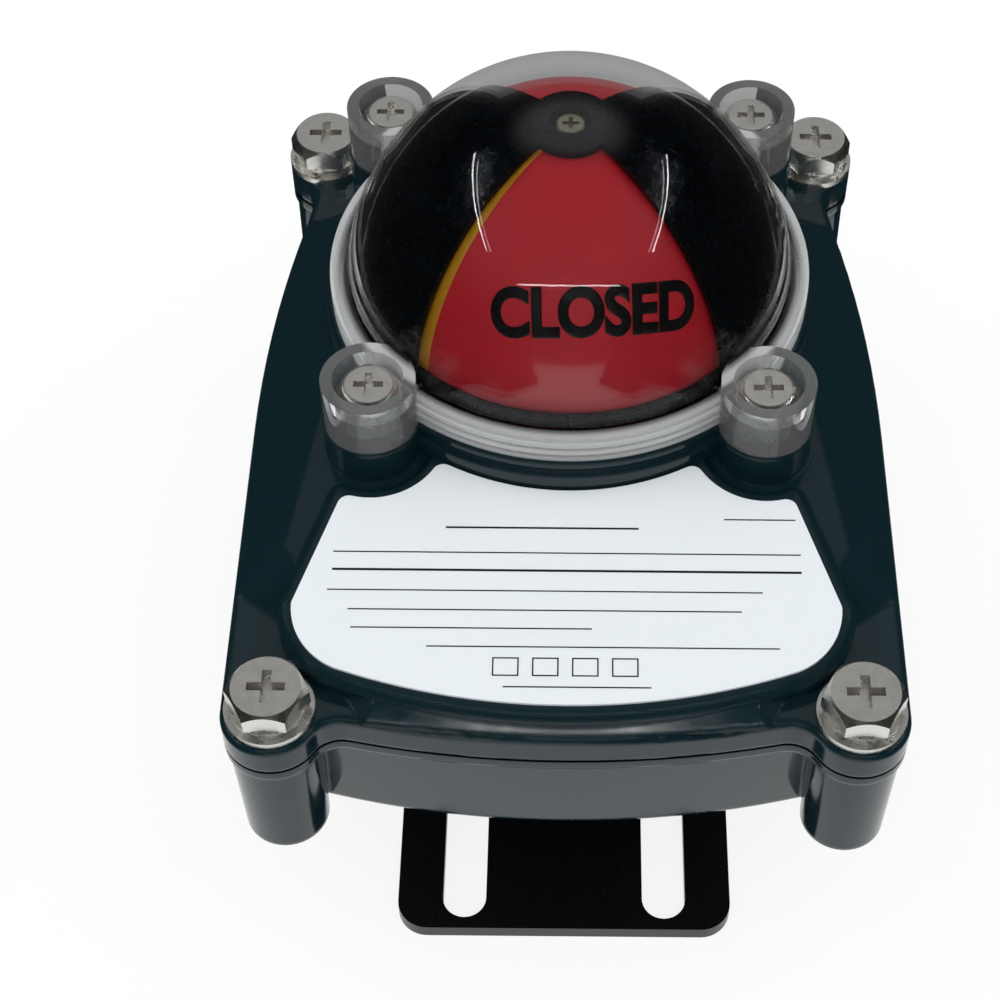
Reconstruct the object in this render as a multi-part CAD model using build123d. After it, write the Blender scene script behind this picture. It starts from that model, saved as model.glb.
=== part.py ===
"""Valve limit switch box on a folded mounting bracket. One STEP file for each piece, in millimetres.

The origin is on the shaft's axis, in the plane that the bracket's feet stand on. +Z is up along the
shaft, -Y is the front, where the nameplate is, and +X is to the right.
"""

import os
from math import atan2, cos, degrees, hypot, radians, sin, tan

from build123d import *

os.makedirs("parts", exist_ok=True)

# ---------------------------------------------------------------- clearances
running = 0.05          # a shaft or pin that turns or slides in its own bore, on the radius
seat_gap = 0.02         # a piece set in a bore that doesn't turn, on the radius
screw_play = 0.05       # a screw's shank in its thread, on the radius
hole_play = 0.35        # a screw's shank in a plain hole, on the radius
drum_gap = 0.5          # between the turning drum and the hood over it

# ---------------------------------------------------------------- mounting bracket
bracket_width = 50.0
bracket_sheet = 2.5
bracket_height = 22.5   # from the feet's underside to the seat under the housing
bracket_bend = 2.0      # inside radius of each fold
bracket_leg = 30.0      # outside of each leg, from the shaft's axis
bracket_reach = 77.8    # end of each foot, from the shaft's axis
foot_corner = 4.5
slot_pitch = 30.0
slot_width = 6.5
slot_length = 39.0
slot_end_wall = 1.8     # sheet left past each slot's outer end
bracket_hole = 13.0     # radius of the hole that the shaft passes
mount_screw_x = 19.0    # screws that hold the housing on the bracket, half pitches
mount_screw_y = 14.0
mount_screw = 2.5       # M5, radius
mount_head = 4.2
mount_head_height = 2.8
mount_thread = 4.5      # depth of thread in the housing

# ---------------------------------------------------------------- housing
base_depth = 21.5       # from the underside to the seam
floor_thickness = 3.0
lip_height = 2.5        # the base's rim just under the seam
rim_round = 0.8         # lower edge of that rim
wall = 3.6
wall_setback = 0.9      # the walls stand this far inside the rim
wall_draft = 5.0
wall_round = 1.6        # round the underside
side_half_width = 46.9
side_straight_end = -20.0   # the sides run straight to here, then close in towards the rear
waist_narrowing = 4.5   # how far each side closes in
waist = 24.0
front_bow = 5.5         # how far the front edge bows out between the bolts
rear_bow = 1.2
rear_shoulder_in = 10.0     # ends of the rear bow, inside the bolts
bolt_front = 69.2
bolt_rear = 38.4
front_margin = 4.7      # the bow's middle, in front of the front bolts
rear_margin = 3.6
lobe_front = 6.9        # each front lobe runs straight into its side
lobe_rear = 6.2
lobe_blend = 4.5
boss_foot = 6.0         # radius of each corner boss at its underside
corner_room = 7.1       # from each bolt to the inside of the walls round it
post_radius = 4.3       # bosses on the floor round the bracket's screws
small_post = 3.2        # posts under the switch plate and the terminal strip
shaft_boss = 12.0
shaft_boss_height = 6.0
gasket_width = 2.0
gasket_depth = 1.5
gasket_land = 1.0       # rim left inside the gasket's groove
entry_x = 20.0          # threaded cable entries in the rear wall
entry_height = 9.0      # above the underside
entry_boss = 12.3
entry_bore = 9.19       # core radius of an M20 x 1.5 thread
entry_inner = 34.5
entry_outer = 46.5

# ---------------------------------------------------------------- cover
flange_thickness = 5.0
flange_round = 1.0
cover_skin = 3.0        # upright thickness of the crown
crown_slope = 38.0      # of the crown's flanks, from level
crown_margin = 0.8      # flat edge left round the foot of the crown
crown_height = 13.0
crown_front_in = 12.0   # ends of the crown's front edge, inside the bolts
crown_rear_in = 13.0
notch_in = 3.6          # the crown's hollow corners, from the front bolts
notch_back = 9.5
notch_length = 18.2
rear_notch_in = 8.5     # and from the rear bolts
rear_notch_front = 7.4
crown_drop = 1.2        # crown's top face under the nameplate pad
pad_slope = 7.4         # of the nameplate, from level
pad_centre_height = 61.07   # where the pad's plane meets the shaft's axis
pad_margin = 2.2
pad_bevel = 1.0
plate_thickness = 0.5
plate_top = 37.4        # radius of the plate's hollow top edge about the shaft
plate_half_width = 37.8
plate_widest = 55.6
plate_corner = 31.5
plate_corner_edge = 65.4
plate_bottom = 70.7
plate_shoulder = 28.5
plate_round = 1.6
ear_hollow = 10.6       # the plate's edge keeps this far from the middle of each ear

# ---------------------------------------------------------------- dome, hood and drum
seat_height = 61.4      # the dome's seat
seat_radius = 36.1
seat_step = 0.7
seat_step_height = 2.0
dome_radius = 33.3
dome_wall = 2.0
dome_ring = 35.6
dome_ring_height = 4.2
ring_ribs = 3           # grip ribs round the ring, and how far they stand out
ring_rib = 0.5
ear_pitch = 28.0        # half pitch of the dome's ears, both ways
ear_radius = 6.7
ear_height = 8.6
ear_web = 7.0
pedestal = 6.9
dome_screw = 2.0        # M4, radius
dome_screw_head = 4.2
dome_screw_head_height = 2.4
ear_floor = 5.0         # from the ear's underside to the head's seat
ear_bore = 5.0
dome_screw_length = 14.0
dome_gasket_radius = 33.2
dome_gasket_width = 2.0
dome_gasket_depth = 1.5
hood_gap = 0.3
hood_wall = 0.9
hood_hub = 6.0
hood_hole = 2.8
window_sill = 4.1       # lower edge of each window, above the seat
window_angle = 90.0
cover_opening = 30.6
drum_wall = 1.4
drum_sill = 0.9
panel_gap = 0.3
drum_hub = 5.6
rib = 2.0
drum_ring_height = 2.6
drum_stem = 6.5
drum_screw_shank = 1.5
drum_screw_head = 2.3
drum_screw_head_height = 1.6

# ---------------------------------------------------------------- cover bolts
bolt = 3.0              # M6, radius
bolt_head_flats = 10.0
bolt_head_height = 3.6
bolt_recess = 2.6       # reach of the cross recess from the middle
bolt_recess_depth = 1.8
bolt_length = 20.0
bolt_thread_depth = 16.5
washer_radius = 6.2
washer_thickness = 1.0
spring_washer_radius = 5.4
spring_washer_thickness = 1.2

# ---------------------------------------------------------------- shaft
shaft_radius = 5.0
shaft_top_radius = 4.0
tongue_width = 4.0
tongue_length = 3.4
shaft_below = 6.5       # the shaft's lower end, under the housing
bushing_wall = 2.0
collar_radius = 8.0
collar_height = 1.4
thrust_washer_thickness = 0.6
circlip_thickness = 1.0
circlip_radius = 7.0
circlip_groove = 0.6
o_ring = 0.75           # section radius of the shaft's rubber ring
o_ring_groove = 1.5
spline_root = 6.0
spline_tooth = 0.5
spline_teeth = 20
cam_thickness = 6.0
cam_cap_thickness = 1.5
spring_radius = 8.2
spring_wire = 0.6
spring_turns = 3
shaft_top_above_seat = 3.0

# ---------------------------------------------------------------- switches and their cams
turn_low = -3.0         # the shaft's range about the pose shown, in degrees
turn_high = 87.0
lever_turn = 6.0        # how far a switch lever moves over the shaft's range
switch_length = 27.8
switch_depth = 15.9
switch_height = 10.3
switch_front = 20.1     # the plungers' side of the cases, from the shaft's axis
switch_hole_pitch = 22.2
switch_hole_edge = 3.0
switch_screw = 1.5
switch_screw_head = 2.7
switch_screw_head_height = 1.6
plate_sheet = 1.5
plate_stand = 1.0
plate_length = 54.0
plate_depth = 22.0
plate_screw_x = 22.5
plate_screw = 1.5
spacer_thickness = 1.0
lever_pivot_x = -12.3
lever_pivot_out = 1.4   # from the case's face to the lever's pivot
pivot_pin = 0.6
lever_eye = 1.2
lever_sheet = 0.5
lever_width = 4.6
roller_x = 17.0         # roller's centre from the pivot, with the lever flat
roller_out = 3.6
roller_radius = 2.4
roller_width = 3.0
roller_pin = 0.7
roller_gap = 0.25       # between each roller and its cam
plunger_x = 8.5         # from the pivot
plunger_radius = 1.2
plunger_gap = 0.3       # between each plunger and its lever
plunger_inside = 2.5    # length of plunger that stays in the case
plunger_travel = 1.2    # room behind it
tab_width = 4.8
tab_thickness = 0.8
tab_length = 6.5
tab_pitch = 9.0

# ---------------------------------------------------------------- terminal strip
poles = 8
pole_pitch = 7.2
strip_depth = 13.0
strip_height = 10.5
strip_front = 61.5      # front face, from the shaft's axis
strip_stand = 1.5
barrier = 1.2
terminal_screw = 2.3
terminal_thread = 1.5
terminal_screw_height = 1.6
earth_in = 13.9         # earth screw, from the side
earth_y = -30.0
earth_screw = 2.0
earth_head = 3.8

# ---------------------------------------------------------------- heights worked out from these
bolt_x = side_half_width - lobe_front
waist_half_width = side_half_width - waist_narrowing
rear_shoulder = bolt_x - rear_shoulder_in
front_edge = bolt_front + front_margin
rear_edge = bolt_rear + rear_margin
rear_shoulder_edge = rear_edge - rear_bow
earth_x = side_half_width - earth_in
slot_outer = bracket_reach - slot_end_wall
underside = bracket_height
seam = underside + base_depth
flange_top = seam + flange_thickness
floor_top = underside + floor_thickness
shaft_boss_top = underside + shaft_boss_height
plate_z = floor_top + plate_stand
lower_switch_z = plate_z + plate_sheet
upper_switch_z = lower_switch_z + switch_height + spacer_thickness
lower_cam_z = lower_switch_z + (switch_height - cam_thickness) / 2
upper_cam_z = upper_switch_z + (switch_height - cam_thickness) / 2
hood_radius = dome_radius - dome_wall - hood_gap
drum_radius = hood_radius - hood_wall - drum_gap
drum_base = seat_height + drum_sill
shaft_top = seat_height + shaft_top_above_seat
collar_top = lower_cam_z
spline_top = upper_cam_z + cam_thickness + cam_cap_thickness + 0.5
o_ring_z = underside + shaft_boss_height / 2
circlip_z = underside - thrust_washer_thickness - circlip_thickness - 0.1

CENTRE = (Align.CENTER, Align.CENTER, Align.MIN)
BOLTS = [(sx * bolt_x, y) for sx in (-1, 1) for y in (-bolt_front, bolt_rear)]
EARS = [(sx * ear_pitch, sy * ear_pitch) for sx in (-1, 1) for sy in (-1, 1)]
MOUNT_SCREWS = [(sx * mount_screw_x, sy * mount_screw_y) for sx in (-1, 1) for sy in (-1, 1)]
PAD = Plane(origin=(0, 0, pad_centre_height), x_dir=(1, 0, 0),
            z_dir=(0, -sin(radians(pad_slope)), cos(radians(pad_slope))))


def post(radius, low, high, at=(0, 0)):
    """Upright cylinder between two heights."""
    return Pos(at[0], at[1], low) * Cylinder(radius, high - low, align=CENTRE)


def ring(outer, inner, low, high, at=(0, 0)):
    """Upright tube between two heights."""
    return post(outer, low, high, at) - post(inner, low, high, at)


def slab(size_x, size_y, low, high, at=(0, 0)):
    """Upright block between two heights."""
    return Pos(at[0], at[1], low) * Box(size_x, size_y, high - low, align=CENTRE)


def prism(face, low, high):
    """A flat face raised between two heights."""
    return extrude(Pos(0, 0, low) * face, high - low)


def ball(radius):
    """Ball about the dome's centre."""
    return Pos(0, 0, seat_height) * Sphere(radius)


def save(name, shape):
    """Write one piece, or a group of separate pieces, to its file."""
    export_step(Compound(list(shape)) if isinstance(shape, list) else shape, f"parts/{name}.step")


# ---------------------------------------------------------------- plan of the enclosure
def plan(inset=0.0, lobes=True):
    """Outline at the seam: bowed front, straight sides that close in to a waist, and four bolt lobes."""
    bow_end = (bolt_x - inset, -front_edge + front_bow + inset)
    side_low = (side_half_width - inset, -bolt_front)
    side_high = (side_half_width - inset, side_straight_end)
    waist_point = (waist_half_width - inset, waist)
    rear = (rear_shoulder - inset, rear_shoulder_edge - inset)
    edges = [
        ThreePointArc((-bow_end[0], bow_end[1]), (0, -front_edge + inset), bow_end),
        Polyline(bow_end, side_low, side_high),
        TangentArc([side_high, waist_point], tangent=(0, 1)),
        Polyline(waist_point, (bolt_x - inset, bolt_rear - inset), rear),
    ]
    edges += [mirror(edge, Plane.YZ) for edge in edges[1:]]
    edges.append(ThreePointArc((-rear[0], rear[1]), (0, rear_edge - inset), rear))
    face = make_face(edges)
    if not lobes:
        return face
    for x, y in BOLTS:
        face += Pos(x, y) * Circle((lobe_front if y < 0 else lobe_rear) - inset)
    sheet = extrude(face, -1.0)
    sheet = fillet(lobe_corners(sheet, inset), lobe_blend)
    return sheet.faces().sort_by(Axis.Z)[-1]


def lobe_corners(sheet, inset):
    """The hollow upright edges where a lobe runs into the outline, without those on the straight sides."""
    found = []
    for edge in sheet.edges().filter_by(Axis.Z):
        middle = edge @ 0.5
        for x, y in BOLTS:
            radius = (lobe_front if y < 0 else lobe_rear) - inset
            on_lobe = abs(hypot(middle.X - x, middle.Y - y) - radius) < 0.01
            if on_lobe and (y > 0 or abs(middle.X) < bolt_x):
                found.append(edge)
    return found


def pocket_plan(grow=0.0):
    """Inside of the walls, kept clear of the four corner bosses, or the same shape grown outwards."""
    face = plan(wall_setback + wall - grow, lobes=False)
    for x, y in BOLTS:
        face -= Pos(x, y) * Circle(corner_room - grow)
    return face


pocket = pocket_plan()


# ---------------------------------------------------------------- base housing
def base_housing():
    """Die-cast tray with a rim, four corner bosses, floor bosses, a shaft boss and two cable entries."""
    rim = prism(plan(), seam - lip_height, seam)
    rim = fillet(rim.faces().sort_by(Axis.Z)[0].edges(), rim_round)
    outline = plan(wall_setback, lobes=False)
    drawn_in = offset(outline, -(base_depth - lip_height) * tan(radians(wall_draft)), kind=Kind.TANGENT)
    walls = loft([Pos(0, 0, seam - lip_height) * outline.face(), Pos(0, 0, underside) * drawn_in.face()])
    walls = fillet(walls.faces().sort_by(Axis.Z)[0].edges(), wall_round)
    body = rim + walls
    for x, y in BOLTS:
        top_radius = (lobe_front if y < 0 else lobe_rear) - wall_setback / 2
        body += Pos(x, y, underside) * Cone(boss_foot, top_radius, base_depth - lip_height, align=CENTRE)
    for sx in (-1, 1):
        body += Pos(sx * entry_x, (entry_inner + entry_outer) / 2, underside + entry_height) * Rot(90, 0, 0) \
            * Cylinder(entry_boss, entry_outer - entry_inner)
    body -= prism(pocket, floor_top, seam)
    body += post(shaft_boss, floor_top - 0.5, shaft_boss_top)
    for at in MOUNT_SCREWS:
        body += post(post_radius, floor_top - 0.5, underside + mount_thread + 2.0, at)
    for at in plate_posts() + strip_posts():
        body += post(small_post, floor_top - 0.5, at[2], at)
    for sx in (-1, 1):
        middle = Pos(sx * entry_x, (entry_inner + entry_outer) / 2, underside + entry_height) * Rot(90, 0, 0)
        inner_end = Pos(sx * entry_x, entry_inner + 2, underside + entry_height) * Rot(90, 0, 0)
        body += inner_end * Cylinder(entry_boss, 4.0) & prism(pocket, floor_top - 0.5, seam - 0.4)
        body -= middle * Cylinder(entry_bore, entry_outer - entry_inner + 0.2)
    body -= post(shaft_radius + bushing_wall + seat_gap, underside - 1, shaft_boss_top + 1)
    for at in BOLTS:
        body -= post(bolt + screw_play, seam - bolt_thread_depth, seam + 1, at)
    for at in MOUNT_SCREWS:
        body -= post(mount_screw + screw_play, underside - 1, underside + mount_thread, at)
    for x, y, z in plate_posts() + strip_posts():
        body -= post(plate_screw + screw_play, floor_top - 1.0, z + 1, (x, y))
    body -= post(earth_screw + screw_play, floor_top - 2.0, floor_top + 1, (earth_x, earth_y))
    return body - gasket_ring(gasket_depth)


def gasket_ring(depth, play=0.0):
    """The loop that the cover's gasket fills, just inside the bolts."""
    outer = pocket_plan(gasket_land + gasket_width - play)
    inner = pocket_plan(gasket_land + play)
    return prism(outer - inner, seam - gasket_depth, seam - gasket_depth + depth)


def plate_posts():
    """Places and tops of the floor posts under the switch plate."""
    y = -switch_front - plate_depth / 2
    return [(sx * plate_screw_x, y, plate_z) for sx in (-1, 1)]


def strip_posts():
    """Places and tops of the floor posts under the terminal strip."""
    x = poles * pole_pitch / 2 + 1.0
    return [(sx * x, -strip_front + strip_depth / 2, floor_top + strip_stand) for sx in (-1, 1)]


# ---------------------------------------------------------------- cover
def pad_plane(distance):
    """The nameplate's sloping plane, moved along its own normal."""
    return PAD.offset(distance)


def below_pad(distance):
    """Everything under the nameplate's plane, moved along its own normal."""
    return pad_plane(distance) * Box(300, 300, 120, align=(Align.CENTER, Align.CENTER, Align.MAX))


def crown_section(rise):
    """Level section of the crown: a shield with hollow corners round the bolts, smaller the higher it is."""
    inset = crown_margin + rise / tan(radians(crown_slope))
    corner = inset * 0.7
    side = side_half_width - inset
    waist_side = waist_half_width - inset
    front = (bolt_x - crown_front_in - corner, -front_edge + inset + 1.4)
    notch = (bolt_x - notch_in - corner, -bolt_front + notch_back + corner)
    notch_end = (side, -bolt_front + notch_length + inset * 0.8)
    side_end = (side, side_straight_end + inset * 0.4)
    waist_end = (waist_side, waist - inset * 0.6)
    rear_notch = (bolt_x - rear_notch_in - corner, bolt_rear - rear_notch_front - corner)
    rear = (bolt_x - crown_rear_in - corner, rear_edge - inset - 0.6)
    right = [
        ThreePointArc(front, notch, notch_end),
        Polyline(notch_end, side_end),
        ThreePointArc(side_end, (side - 0.8, 4), waist_end),
        ThreePointArc(waist_end, rear_notch, rear),
    ]
    edges = [ThreePointArc((-front[0], front[1]), (0, -front_edge + inset), front)]
    edges += right + [mirror(edge, Plane.YZ) for edge in right]
    edges.append(ThreePointArc((-rear[0], rear[1]), (0, rear_edge - inset), rear))
    return Pos(0, 0, flange_top + rise) * make_face(edges)


def crown():
    """The cover's raised middle: flanks at one slope, cut off by the sloping top."""
    foot = crown_section(0.0)
    solid = loft([foot, crown_section(crown_height)])
    return solid & below_pad(-crown_drop)


def rounded(face, radius):
    """The face with its corners rounded."""
    sheet = extrude(face, -1.0)
    return fillet(sheet.edges().filter_by(Axis.Z), radius).faces().sort_by(Axis.Z)[-1]


def plate_outline(grow=0.0):
    """The nameplate's outline in its own plane, or one grown outwards: a shield, hollowed by dome and ears."""
    ear_y = -ear_pitch / cos(radians(pad_slope))
    half = plate_half_width + grow
    wing = (plate_shoulder + grow, ear_y)
    widest = (half, -plate_widest)
    belly = (half - 1.9, -plate_widest - 6.2)
    corner = (plate_corner + grow * 0.7, -plate_corner_edge - grow * 0.7)
    left = [(-x, y) for x, y in (wing, widest, belly, corner)]
    edges = [
        Polyline(left[0], wing, widest),
        ThreePointArc(widest, belly, corner),
        ThreePointArc(corner, (0, -plate_bottom - grow), left[3]),
        ThreePointArc(left[3], left[2], left[1]),
        Line(left[1], left[0]),
    ]
    face = make_face(edges) - Circle(plate_top - grow)
    for sx in (-1, 1):
        face -= Pos(sx * ear_pitch, ear_y) * Circle(ear_hollow - grow)
    return rounded(face, plate_round)


def top_cover():
    """Die-cast cover: flange, crown, bevelled nameplate pad, dome seat with four pedestals."""
    flange = prism(plan(), seam, flange_top)
    flange = fillet(flange.faces().sort_by(Axis.Z)[-1].edges(), flange_round)
    outer = crown()
    pad = extrude(pad_plane(0) * plate_outline(pad_margin), -9.0)
    pad = chamfer(pad.faces().sort_by(lambda face: PAD.to_local_coords(face.center()).Z)[-1].edges(), pad_bevel)
    pad &= slab(4 * bolt_x, 4 * bolt_front, seam + 1, seat_height)
    body = flange + outer + pad
    body += post(seat_radius + seat_step, flange_top, seat_height - seat_step_height)
    body += post(seat_radius, flange_top, seat_height)
    for at in EARS:
        body += post(pedestal, flange_top, seat_height, at)
    room = Pos(0, 0, -cover_skin) * outer + prism(pocket, seam - 1, seam + cover_skin - 1)
    body -= room & prism(pocket, seam - 1, 90)
    body -= post(cover_opening, seam, seat_height + 1)
    for at in BOLTS:
        body -= post(bolt + hole_play, seam - 1, flange_top + 8, at)
        body -= post(washer_radius + 0.4, flange_top, flange_top + 8, at)
    for at in EARS:
        body -= post(dome_screw + screw_play, seat_height - (dome_screw_length - ear_floor) - 1.0, seat_height + 1, at)
    groove = ring(dome_gasket_radius + dome_gasket_width / 2, dome_gasket_radius - dome_gasket_width / 2,
                  seat_height - dome_gasket_depth, seat_height + 1)
    return body - groove


def cover_bolt(at):
    """Hexagon bolt with a cross recess in its head."""
    seat = flange_top + washer_thickness + spring_washer_thickness
    head = prism(Pos(*at) * RegularPolygon(bolt_head_flats / 2, 6, major_radius=False), seat,
                 seat + bolt_head_height)
    head &= Pos(at[0], at[1], seat) * Cone(bolt_head_flats * 0.75, bolt_head_flats * 0.475, bolt_head_height,
                                           align=CENTRE)
    body = head + post(bolt, seat - bolt_length, seat, at)
    return body - cross_recess(at, seat + bolt_head_height, bolt_recess_depth, bolt_recess)


def cross_recess(at, top, depth, reach):
    """Cross-shaped driver recess, cut down from a head's top."""
    bars = Rectangle(2 * reach, reach * 0.5) + Rectangle(reach * 0.5, 2 * reach)
    return Pos(at[0], at[1], top - depth) * extrude(bars, depth + 1)


def pan_screw(at, top, head_radius, head_height, shank, length):
    """Pan-head screw pointing down, with a cross recess."""
    head = post(head_radius, top - head_height, top, at)
    head = fillet(head.faces().sort_by(Axis.Z)[-1].edges(), head_height * 0.4)
    body = head + post(shank, top - head_height - length, top - head_height, at)
    return body - cross_recess(at, top, head_height * 0.6, head_radius * 0.5)


def split_washer(at, low):
    """Spring washer with its slanted split."""
    body = ring(spring_washer_radius, bolt + 0.2, low, low + spring_washer_thickness, at)
    return body - Pos(at[0] + spring_washer_radius, at[1], low + 0.6) * Rot(30, 0, 0) * Box(5, 0.6, 4)


# ---------------------------------------------------------------- dome, hood and drum
def dome():
    """Clear dome: half ball on a grooved ring, with four screw ears that stand up from the seat."""
    ring_top = seat_height + dome_ring_height
    body = post(dome_ring - ring_rib, seat_height, ring_top)
    pitch = dome_ring_height / ring_ribs
    for index in range(ring_ribs):
        low = seat_height + index * pitch
        body += post(dome_ring, low, low + pitch / 2)
    body += ball(dome_radius) & post(dome_radius + 1, seat_height, seat_height + dome_radius + 1)
    for x, y in EARS:
        turn = degrees(atan2(y, x))
        body += post(ear_radius, seat_height, seat_height + ear_height, (x, y))
        web = Pos(dome_ring - 1.5, 0, seat_height) * Box(6.5, ear_web, dome_ring_height + 0.8, align=CENTRE)
        body += Rot(0, 0, turn) * web
    for at in EARS:
        body -= post(dome_screw + hole_play, seat_height - 1, seat_height + ear_height + 1, at)
        body -= post(ear_bore, seat_height + ear_floor, seat_height + ear_height + 1, at)
    body -= ball(dome_radius - dome_wall)
    return body


def wedge(angle, reach, low, high, middle=-90.0):
    """Upright sector about the shaft's axis."""
    half = radians(angle / 2)
    sector = Polygon((0, 0), (reach, -reach * tan(half)), (reach, reach * tan(half)), align=None)
    return Rot(0, 0, middle) * prism(sector, low, high)


def indicator_hood():
    """Black hood inside the dome: half a ball with a window front and back and a hub at the top."""
    top = seat_height + hood_radius + 1
    body = ball(hood_radius) - ball(hood_radius - hood_wall)
    body &= post(hood_radius + 1, seat_height, top)
    for middle in (-90, 90):
        window = wedge(window_angle, 2 * hood_radius, seat_height + window_sill, top, middle)
        body -= window - post(hood_hub, seat_height, top)
    return body - post(hood_hole, seat_height, top)


def drum_panel(middle):
    """One coloured quarter of the drum: part of a ball's shell, open at the top round the hub."""
    shell = ball(drum_radius) - ball(drum_radius - drum_wall)
    quarter = wedge(90.0, 2 * drum_radius, drum_base + drum_ring_height + 0.1, seat_height + drum_radius, middle)
    quarter = Rot(0, 0, middle + 90) * (Rot(0, 0, -90 - middle) * quarter & slab(80, 80, 0, 120, (0, -40 - 0.1)))
    return shell & quarter - post(drum_hub + 0.1, seat_height, seat_height + drum_radius + 1)


def drum_carrier():
    """Drum's frame: a foot ring, two crossed arches under the panels' joints, a top boss and a stem."""
    inner = drum_radius - drum_wall - 0.1
    body = ring(drum_radius, drum_radius - drum_wall - 2.4, drum_base, drum_base + drum_ring_height)
    arch = ball(inner) - ball(inner - 3.0)
    stem_foot = seat_height - 4.0
    for turn in (45, -45):
        body += arch & Rot(0, 0, turn) * slab(2 * drum_radius, rib * 2, drum_base, seat_height + drum_radius)
    boss = post(drum_hub, seat_height + drum_radius - 6.0, seat_height + drum_radius + 1) & ball(drum_radius)
    body += boss + post(drum_stem, stem_foot, seat_height + drum_radius - 3.0) & ball(inner)
    body -= post(shaft_top_radius + running, stem_foot - 1, shaft_top + 0.1)
    body -= post(drum_screw_shank + hole_play, stem_foot, seat_height + drum_radius + 1)
    return body - post(drum_screw_head + 0.3, drum_screw_seat(), seat_height + drum_radius + 1)


def drum_screw_seat():
    """Height of the step in the drum's top boss that the drum screw's head sits on."""
    return seat_height + drum_radius - drum_screw_head_height + 0.6


# ---------------------------------------------------------------- bracket
def bracket():
    """One strip of sheet folded into a raised seat, two legs and two slotted feet."""
    half = bracket_leg
    top = bracket_height
    outside = [(-bracket_reach, 0), (-half + bracket_sheet, 0), (-half + bracket_sheet, top - bracket_sheet),
               (half - bracket_sheet, top - bracket_sheet), (half - bracket_sheet, 0), (bracket_reach, 0),
               (bracket_reach, bracket_sheet), (half, bracket_sheet), (half, top), (-half, top),
               (-half, bracket_sheet), (-bracket_reach, bracket_sheet)]
    side = Plane.YZ * Polygon(*outside, align=None)
    body = extrude(side, bracket_width / 2, both=True)
    folds = body.edges().filter_by(Axis.X)
    body = fillet([edge for edge in folds if fold_is_hollow(edge @ 0.5)], bracket_bend)
    folds = body.edges().filter_by(Axis.X)
    body = fillet([edge for edge in folds if fold_is_outer(edge @ 0.5)], bracket_bend + bracket_sheet)
    corners = [edge for edge in body.edges().filter_by(Axis.Z) if abs(abs((edge @ 0.5).Y) - bracket_reach) < 0.01]
    body = fillet(corners, foot_corner)
    for sx in (-1, 1):
        for sy in (-1, 1):
            slot = Pos(sx * slot_pitch / 2, sy * (slot_outer - slot_length / 2)) * Rot(0, 0, 90) \
                * SlotOverall(slot_length, slot_width)
            body -= prism(slot, -1, bracket_sheet + 1)
    body -= post(bracket_hole, underside - bracket_sheet - 1, underside + 1)
    for at in MOUNT_SCREWS:
        body -= post(mount_screw + hole_play, underside - bracket_sheet - 1, underside + 1, at)
    return body


def fold_is_hollow(middle):
    """True on the inner line of a fold: under the seat, or over a foot."""
    under_seat = abs(abs(middle.Y) - (bracket_leg - bracket_sheet)) < 0.01 and middle.Z > bracket_sheet + 1
    over_foot = abs(abs(middle.Y) - bracket_leg) < 0.01 and middle.Z < bracket_height / 2
    return under_seat or over_foot


def fold_is_outer(middle):
    """True on the outer line of a fold: the seat's edges, or the foot's inner end."""
    seat_edge = abs(abs(middle.Y) - bracket_leg) < 0.01 and middle.Z > bracket_height - 0.01
    foot_end = abs(abs(middle.Y) - (bracket_leg - bracket_sheet)) < 0.01 and middle.Z < 0.01
    return seat_edge or foot_end


# ---------------------------------------------------------------- shaft, bushing and cams
def toothed(root, tooth, count):
    """Round outline with square teeth, for the shaft's spline and the cams' bores."""
    face = Circle(root)
    width = radians(180 / count) * root
    for index in range(count):
        face += Rot(0, 0, index * 360 / count) * Pos(root, 0) * Rectangle(2 * tooth, width)
    return face


def drive_shaft():
    """Stainless shaft: flat tongue below, bearing journal, collar, spline for the cams, plain top."""
    low = underside - shaft_below
    body = post(shaft_radius, low, shaft_boss_top)
    body -= slab(3 * shaft_radius, 2 * shaft_radius, low, low + tongue_length, (0, shaft_radius + tongue_width / 2))
    body -= slab(3 * shaft_radius, 2 * shaft_radius, low, low + tongue_length, (0, -shaft_radius - tongue_width / 2))
    body += post(collar_radius, shaft_boss_top + running, collar_top)
    body += post(shaft_radius, shaft_boss_top - 1, shaft_boss_top + 1)
    body += prism(toothed(spline_root, spline_tooth, spline_teeth), collar_top - 0.1, spline_top)
    body += post(shaft_top_radius, spline_top - 1, shaft_top)
    body -= ring(shaft_radius + 1, shaft_radius - o_ring_groove, o_ring_z - 1.2 * o_ring, o_ring_z + 1.2 * o_ring)
    body -= ring(shaft_radius + 1, shaft_radius - circlip_groove, circlip_z, circlip_z + circlip_thickness)
    return body - post(drum_screw_shank + screw_play, shaft_top - 12, shaft_top + 1)


def bushing():
    """Bronze bushing set in the housing's shaft boss."""
    return ring(shaft_radius + bushing_wall, shaft_radius + running, underside, shaft_boss_top)


def shaft_seal():
    """Rubber ring in the shaft's groove."""
    inner = shaft_radius - o_ring_groove
    return Pos(0, 0, o_ring_z) * Torus(inner + o_ring + seat_gap, o_ring)


def circlip():
    """Open retaining ring in the shaft's lower groove."""
    body = ring(circlip_radius, shaft_radius - circlip_groove + running, circlip_z + 0.02,
                circlip_z + circlip_thickness - 0.02)
    return body - slab(2 * circlip_radius, 2.4, circlip_z - 1, circlip_z + 2, (circlip_radius, 0))


def cam_reach(share):
    """Radius of a cam where the roller rides, when the lever has swung out by this share of its travel."""
    turn = radians(lever_turn * share)
    x = lever_pivot_x + roller_x * cos(turn) - roller_out * sin(turn)
    y = -switch_front + lever_pivot_out + roller_x * sin(turn) + roller_out * cos(turn)
    return hypot(x, y) - roller_radius - roller_gap, degrees(atan2(y, x))


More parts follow.
